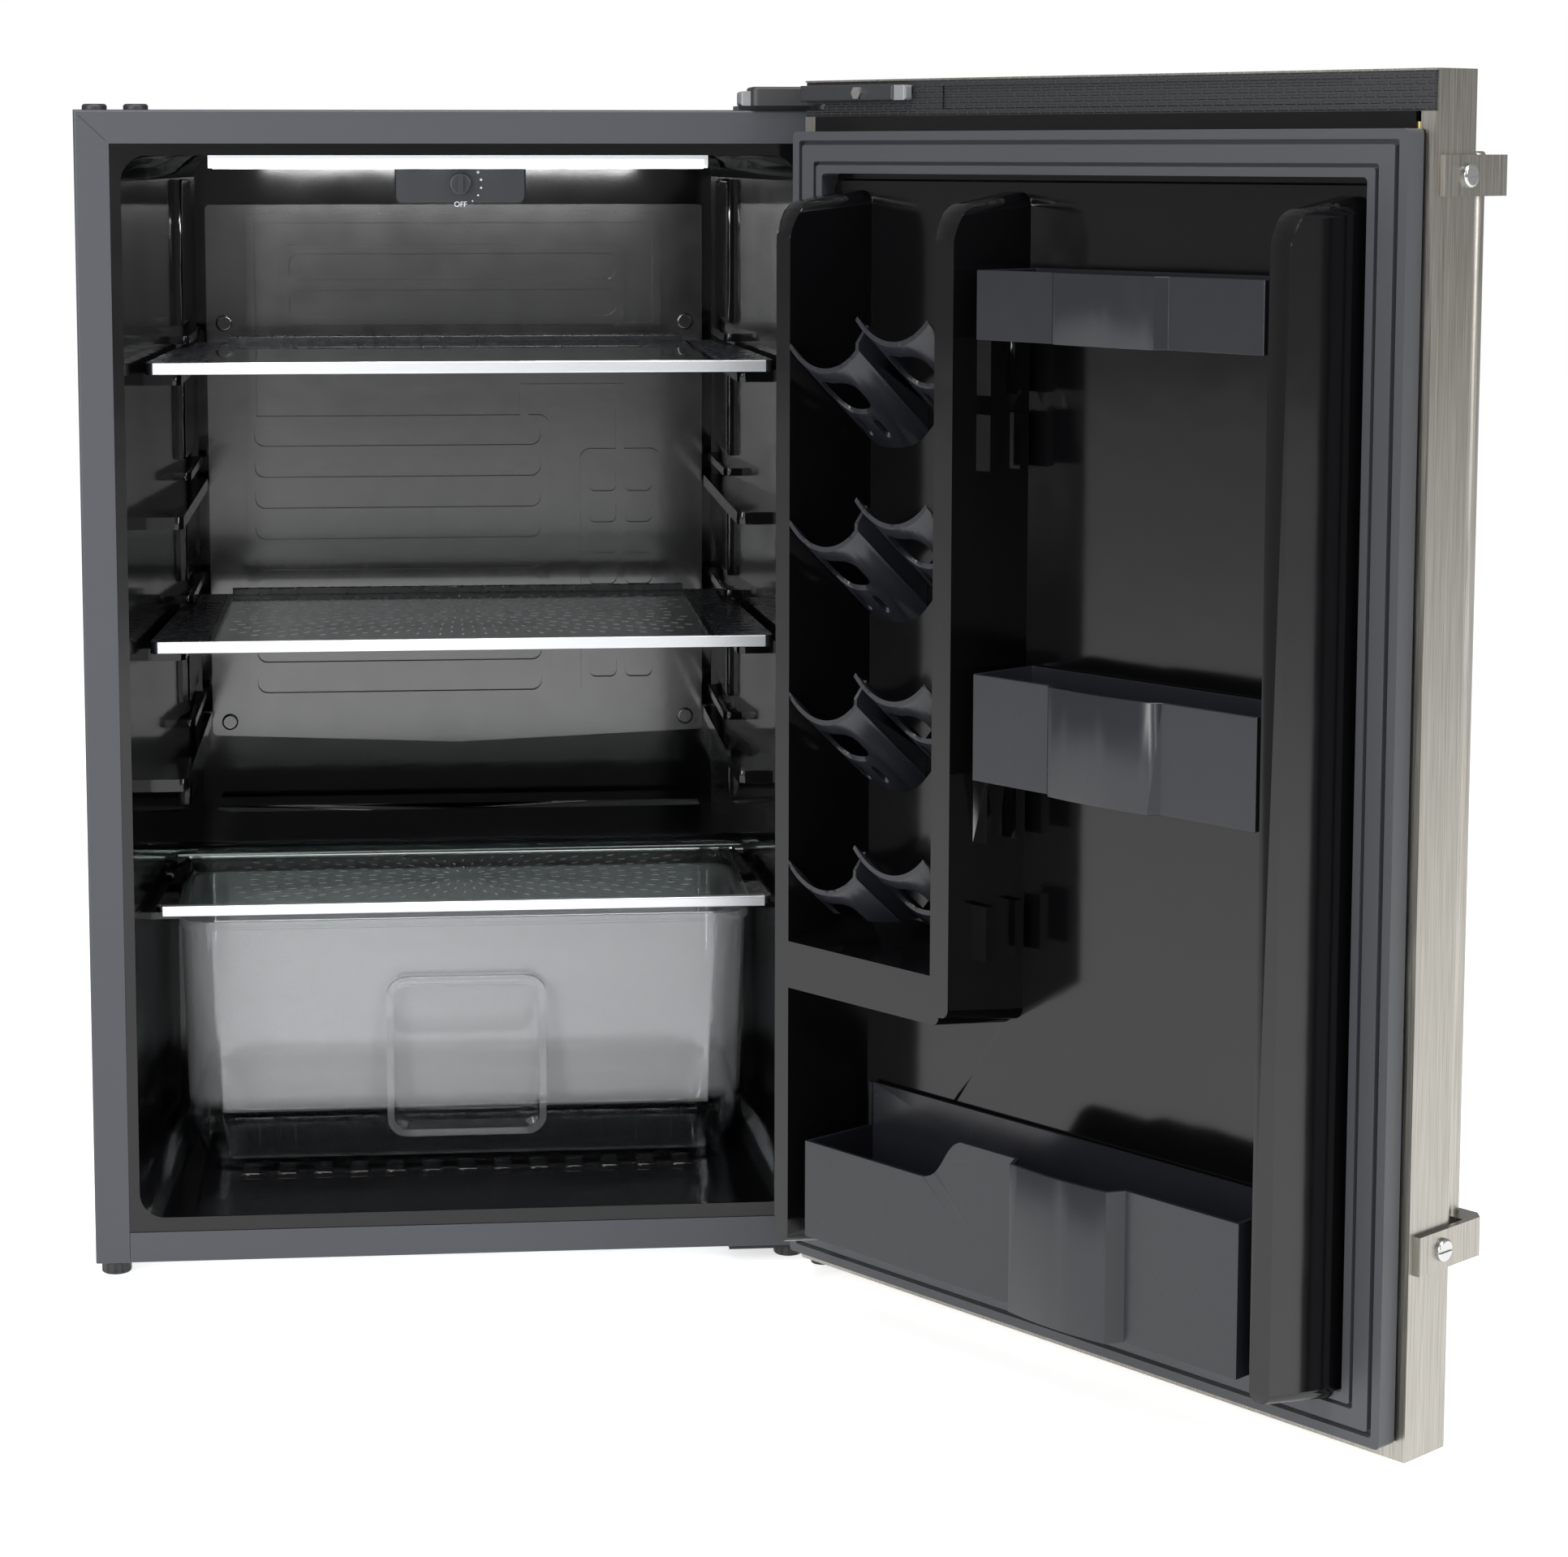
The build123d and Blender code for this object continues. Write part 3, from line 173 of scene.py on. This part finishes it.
# ---------------------------------------------------------------- thermostat
# A charcoal ABS box under the lamp with a knurled dial on the switch's stem.
# The setting dots and the word for the lowest setting are printed in pale grey; the printed arc is left out.
dial_box = grained("charcoal ABS, satin moulded", {"Base Color": linear("1b1d20"), "IOR": 1.54},
                   0.8, 0.05, (0.25, 0.36))
finish_nodes(dial_box, "control_box", "thermostat_knob")
print_grey, _, _ = new_finish("pad printed pale grey ink", {"Base Color": linear("b9bdc2"), "Roughness": 0.6})
knob_low, knob_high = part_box("thermostat_knob")
box_low, box_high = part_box("control_box")
dial_x = (knob_low[0] + knob_high[0]) / 2
dial_z = (knob_low[2] + knob_high[2]) / 2
print_y = box_low[1] - 0.0001


def printed_dot(name, x, z, radius, body):
    """A flat printed dot facing the front."""
    bpy.ops.mesh.primitive_cylinder_add(vertices=24, radius=radius, depth=0.0002, location=(x, print_y, z),
                                        rotation=(math.pi / 2, 0, 0))
    dot = bpy.context.object
    dot.name = name
    dot.data.materials.append(print_grey)
    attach(dot, body)


DOT_RING = 0.0148  # radius of the arc of dots
WORD_DROP = 0.0145  # how far the word's middle is below the dial's
for step in range(6):
    angle = math.radians(-55 + step * 22)
    printed_dot(f"dial_dot_{step + 1}", dial_x + DOT_RING * math.cos(angle), dial_z + DOT_RING * math.sin(angle),
                0.0005 + 0.00012 * step, "cabinet")
bpy.ops.object.text_add(location=(dial_x, print_y, dial_z - WORD_DROP), rotation=(math.pi / 2, 0, 0))
word = bpy.context.object
word.data.body = "OFF"
word.data.size = 0.0052
word.data.align_x = "CENTER"
word.data.align_y = "CENTER"
word.data.extrude = 0.0001
bpy.ops.object.convert(target="MESH")
word.name = "dial_off_mark"
word.data.materials.append(print_grey)
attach(word, "cabinet")

# ---------------------------------------------------------------- shelves
# Toughened float glass sits in black polypropylene frames; a satin anodised strip clips on the front.
# The glass is nearly colourless with a green cast where it is seen through its edge.
black_frame = glossy_moulding("black polypropylene, moulded", "101114", 6, 0.05, (0.22, 0.34))
finish_nodes(black_frame, "upper_shelf_frame", "middle_shelf_frame", "crisper_shelf_runners")
float_glass, _, _ = new_finish("toughened float glass", {"Base Color": linear("e9f4f0"), "Roughness": 0.02,
                               "IOR": 1.52, "Transmission Weight": 1.0})
finish_nodes(float_glass, "upper_shelf_glass", "middle_shelf_glass", "crisper_shelf_glass")
silver_strip = grained("satin anodised aluminium", {"Base Color": linear("c9cbce"), "Metallic": 0.9}, 0.4, 0.02,
                       (0.28, 0.4), stretch=(0.02, 1, 1))
finish_nodes(silver_strip, "upper_shelf_trim", "middle_shelf_trim", "crisper_shelf_trim")
ceramic_print, _, _ = new_finish("screen printed ceramic ink", {"Base Color": linear("70757a"), "Roughness": 0.55})


RING_FIRST, RING_STEP = 0.006, 0.0125
DASH_HALF, DASH_HALF_WIDTH = 0.0028, 0.0005
PRINT_REACH = 0.168  # half the printed width
PRINT_BORDER = 0.02  # clear glass in front of and behind the print


def glass_print(shelf, body, rings):
    """Short dashes in rings round the middle of the glass, printed on its top face."""
    low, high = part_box(shelf)
    centre = Vector(((low[0] + high[0]) / 2, (low[1] + high[1]) / 2, high[2] + 0.00005))
    points, faces = [], []
    for ring in range(1, rings):
        radius = RING_FIRST + ring * RING_STEP
        count = 8 + ring * 4
        for step in range(count):
            angle = 2 * math.pi * (step + 0.5 * (ring % 2)) / count
            along = Vector((math.cos(angle), math.sin(angle), 0))
            middle = centre + radius * along
            deep = (high[1] - low[1]) / 2 - PRINT_BORDER
            if abs(middle.x - centre.x) > PRINT_REACH or abs(middle.y - centre.y) > deep:
                continue
            across = Vector((-along.y, along.x, 0)) * DASH_HALF_WIDTH
            corners = [middle - along * DASH_HALF - across, middle + along * DASH_HALF - across,
                       middle + along * DASH_HALF + across, middle - along * DASH_HALF + across]
            faces.append(range(len(points), len(points) + 4))
            points += [tuple(corner) for corner in corners]
    mesh = bpy.data.meshes.new(shelf + "_print")
    mesh.from_pydata(points, [], [tuple(face) for face in faces])
    made = bpy.data.objects.new(shelf + "_print", mesh)
    bpy.context.collection.objects.link(made)
    mesh.materials.append(ceramic_print)
    thick = made.modifiers.new("ink", "SOLIDIFY")
    thick.thickness = 0.00008
    thick.offset = 1
    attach(made, body)


glass_print("middle_shelf_glass", "middle_shelf", 16)
glass_print("crisper_shelf_glass", "crisper_shelf", 16)

# ---------------------------------------------------------------- crisper drawer
# Injection moulded clear polystyrene about 2.6 mm thick, with a rolled rim and a framed finger pull.
# It is glassy and wavy enough to bend what is seen through it; its upper part is painted paler, a painted light
# that stands for the lit rear wall seen through it.
clear_drawer = grained("clear crystal polystyrene", {"Base Color": linear("f2f4f6"), "IOR": 1.45,
                       "Transmission Weight": 1.0}, 80, 0.4, (0.02, 0.05), detail=1.0)
PAINTED_LIGHT_FROM, PAINTED_LIGHT_TO = 0.096, 0.106  # height above the floor where the drawer turns paler: painted light for the lit rear wall seen through it
drawer_tree = clear_drawer.node_tree
drawer_place = add_node(drawer_tree, "TexCoord")
drawer_height = add_node(drawer_tree, "SeparateXYZ", {}, {"Vector": (drawer_place, "Object")})
# Painted light: less transmission above that height makes the upper part paler, in place of the lit rear wall seen
# through the plastic.
painted_light_band = add_node(drawer_tree, "MapRange", {"From Min": PAINTED_LIGHT_FROM, "From Max": PAINTED_LIGHT_TO, "To Min": 1.0, "To Max": 0.9},
                {"Value": (drawer_height, "Z")})
drawer_tree.links.new(painted_light_band.outputs["Result"], drawer_tree.nodes["Principled BSDF"].inputs["Transmission Weight"])
finish_nodes(clear_drawer, "crisper_drawer")
soften(1.2, "crisper_drawer")

# ---------------------------------------------------------------- compressor bay
# A hermetic compressor in black enamel on rubber grommets, with brazed copper pipework.
enamel = grained("black stoved enamel", {"Base Color": linear("0c0c0d"), "IOR": 1.5, "Coat Weight": 0.5},
                 3, 0.1, (0.22, 0.32))
finish_nodes(enamel, "compressor")
copper = grained("drawn copper tube", {"Base Color": linear("c07b55"), "Metallic": 1.0}, 6, 0.03, (0.22, 0.42))
finish_nodes(copper, "refrigerant_tubes", "filter_drier")
matt_black = grained("black glass filled nylon", {"Base Color": linear("17181a"), "IOR": 1.53},
                     0.7, 0.08, (0.42, 0.58))
finish_nodes(matt_black, "relay_cover", "top_hinge_cover", "hole_plugs", "rear_feet", "left_front_foot",
             "right_front_foot", "door_hinge_arm")

# ---------------------------------------------------------------- hinges
# Pressed steel plates, zinc plated on the cabinet's top and blackened below, with hardened pins.
blackened = grained("black zinc plated steel", {"Base Color": linear("2b2c2e"), "Metallic": 0.8},
                    2.0, 0.04, (0.34, 0.48))
finish_nodes(blackened, "top_hinge_plate", "bottom_hinge_plate", "bottom_hinge_screws")
plated = grained("bright zinc plated steel", {"Base Color": linear("b4b5b4"), "Metallic": 1.0},
                 1.5, 0.02, (0.2, 0.34))
finish_nodes(plated, "top_hinge_pin", "top_hinge_screws", "door_arm_screw", "handle_screws")
cap_grey = grained("grey acetal, moulded", {"Base Color": linear("6a6c6e"), "IOR": 1.48}, 0.8, 0.04, (0.32, 0.42))
finish_nodes(cap_grey, "top_hinge_end_cap", "door_arm_end_cap", "top_bush", "bottom_bush")

# ---------------------------------------------------------------- door skin and handle
# Stainless sheet of the 430 kind, brushed upright and folded round the door; the handle is brushed tube.
# Brushing shows as long faint streaks, here drawn coarser than the real 0.1 mm lines so that they show.
BRUSH_MM = 0.7
BRUSH_STRETCH = (1, 1, 0.012)
brushed = grained("brushed 430 stainless steel", {"Base Color": linear("94918a"), "Metallic": 1.0,
                  "Anisotropic": 0.5}, BRUSH_MM, 0.03, (0.22, 0.42), stretch=BRUSH_STRETCH, detail=2.0)
brushed_tree = brushed.node_tree
brushed_place = add_node(brushed_tree, "TexCoord")
brushed_fit = add_node(brushed_tree, "Mapping", {"Scale": BRUSH_STRETCH}, {"Vector": (brushed_place, "Object")})
streaks = add_node(brushed_tree, "TexNoise", {"Scale": 1000 / BRUSH_MM, "Detail": 2.0},
                   {"Vector": (brushed_fit, "Vector")})
streak_tone = add_node(brushed_tree, "ValToRGB", {}, {"Fac": (streaks, "Fac")})
streak_tone.color_ramp.elements[0].position = 0.3
streak_tone.color_ramp.elements[0].color = linear("85827b")
streak_tone.color_ramp.elements[1].position = 0.7
streak_tone.color_ramp.elements[1].color = linear("a19e97")
brushed_tree.links.new(streak_tone.outputs["Color"], brushed_tree.nodes["Principled BSDF"].inputs["Base Color"])
finish_nodes(brushed, "door_skin", "handle_tube", "handle_brackets")

# ---------------------------------------------------------------- door caps
# The top cap is black ABS with rows of short raised dashes moulded along its back face.
DOOR_ANGLE = math.radians(127.6)  # how far the stored door stands open
cap_black, cap_tree, cap_shader = new_finish("black ABS with moulded dashes", {"Base Color": linear("141518"),
                                             "Roughness": 0.42, "IOR": 1.54})
cap_place = add_node(cap_tree, "TexCoord")
cap_turn = add_node(cap_tree, "Mapping", {"vector_type": "TEXTURE", "Rotation": (0, 0, DOOR_ANGLE)},
                    {"Vector": (cap_place, "Object")})
cap_split = add_node(cap_tree, "SeparateXYZ", {}, {"Vector": (cap_turn, "Vector")})
cap_flat = add_node(cap_tree, "CombineXYZ", {}, {"X": (cap_split, "X"), "Y": (cap_split, "Z")})
dashes = add_node(cap_tree, "TexBrick", {"Scale": 1.0, "Mortar Size": 0.0011, "Mortar Smooth": 0.4,
                  "Brick Width": 0.009, "Row Height": 0.0036, "Color1": (1, 1, 1, 1), "Color2": (1, 1, 1, 1),
                  "Mortar": (0, 0, 0, 1)}, {"Vector": (cap_flat, "Vector")})
dash_bump = add_node(cap_tree, "Bump", {"Strength": 0.8, "Distance": 0.0008}, {"Height": (dashes, "Color")})
cap_tree.links.new(dash_bump.outputs["Normal"], cap_shader.inputs["Normal"])
finish_nodes(cap_black, "door_top_cap")

# ---------------------------------------------------------------- door liner, racks and bins
# The door's inner face is another gloss black formed sheet; racks and bins are moulded to match it.
door_gloss = glossy_moulding("vacuum formed gloss polystyrene, door", "060607", 40, 0.5, (0.09, 0.15))
finish_nodes(door_gloss, "door_liner")
bin_gloss = glossy_moulding("black ABS, gloss moulded", "1b1c20", 12, 0.08, (0.2, 0.3))
finish_nodes(bin_gloss, "can_racks", "upper_bin", "middle_bin", "bottom_bin")
soften(1.0, "door_liner")
soften(0.7, "can_racks", "upper_bin", "middle_bin", "bottom_bin")

# ---------------------------------------------------------------- gasket
# Extruded soft PVC with a magnet strip inside, welded at its mitred corners; satin with a dusty sheen.
soft_vinyl = grained("soft extruded PVC", {"Base Color": linear("25272c"), "IOR": 1.53, "Sheen Weight": 0.15},
                     1.2, 0.06, (0.42, 0.55))
finish_nodes(soft_vinyl, "door_gasket", "compressor_grommets")

# ---------------------------------------------------------------- studio
# Pale paper under a large soft light on each side and one above, a narrow one for the edges,
# and a small one under the ceiling for what the cabin's own lamp gives.
floor_mesh = bpy.data.meshes.new("studio_floor")
floor_mesh.from_pydata([(-9, -7, 0), (9, -7, 0), (9, 9, 0), (-9, 9, 0)], [], [(0, 1, 2, 3)])
studio_floor = bpy.data.objects.new("studio_floor", floor_mesh)
bpy.context.collection.objects.link(studio_floor)
paper, _, _ = new_finish("white background paper", {"Base Color": linear("f7f7f7"), "Roughness": 0.9,
                         "Emission Color": linear("ffffff"), "Emission Strength": 0.62})
floor_mesh.materials.append(paper)


def softbox(name, place, aim, size, power):
    """A large soft light at place, turned towards aim."""
    light = bpy.data.lights.new(name, "AREA")
    light.shape = "RECTANGLE"
    light.size, light.size_y = size
    light.energy = power
    lamp = bpy.data.objects.new(name, light)
    lamp.location = place
    lamp.rotation_euler = (Vector(aim) - Vector(place)).to_track_quat("-Z", "Y").to_euler()
    bpy.context.collection.objects.link(lamp)


softbox("left_softbox", (-2.6, -2.4, 1.5), (0, 0, 0.4), (0.7, 2.2), 80)
softbox("right_softbox", (2.2, -2.6, 1.6), (0.1, -0.1, 0.4), (0.5, 2.2), 55)
softbox("edge_strip", (-0.9, -2.9, 1.1), (0.2, -0.2, 0.45), (0.12, 1.9), 14)
softbox("top_softbox", (-0.2, -1.0, 2.7), (-0.1, -0.1, 0.4), (2.0, 0.9), 60)
lamp_x = (lens_low[0] + lens_high[0]) / 2
lamp_y = box_high[1] + 0.02
softbox("cabin_lamp", (lamp_x, lamp_y, lens_low[2] - 0.004), (lamp_x, lamp_y + 0.06, lens_low[2] - 0.35),
        (0.33, 0.012), 1.8)
world = bpy.data.worlds.new("studio_air")
bpy.context.scene.world = world
world.use_nodes = True
air = world.node_tree.nodes["Background"]
air.inputs["Color"].default_value = (1, 1, 1, 1)
seen = add_node(world.node_tree, "LightPath")
level = add_node(world.node_tree, "MapRange", {"To Min": 0.42, "To Max": 1.0}, {"Value": (seen, "Is Camera Ray")})
world.node_tree.links.new(level.outputs["Result"], air.inputs["Strength"])
bpy.context.scene.view_settings.view_transform = "Standard"

# ---------------------------------------------------------------- camera
# A long lens near the height of the cabinet's top, a little left of its middle, 2.4 m away.
camera = bpy.data.cameras.new("camera")
camera.lens = 78.0
camera.shift_x = 0.05
camera.shift_y = -0.16
viewpoint = bpy.data.objects.new("camera", camera)
shell_low, shell_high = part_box("outer_shell")
viewpoint.location = ((shell_low[0] + shell_high[0]) / 2 - 0.032, shell_low[1] - 2.355, 0.795)
viewpoint.rotation_euler = (math.radians(90 - 6.35), 0, math.radians(-4.87))
bpy.context.collection.objects.link(viewpoint)
bpy.context.scene.camera = viewpoint
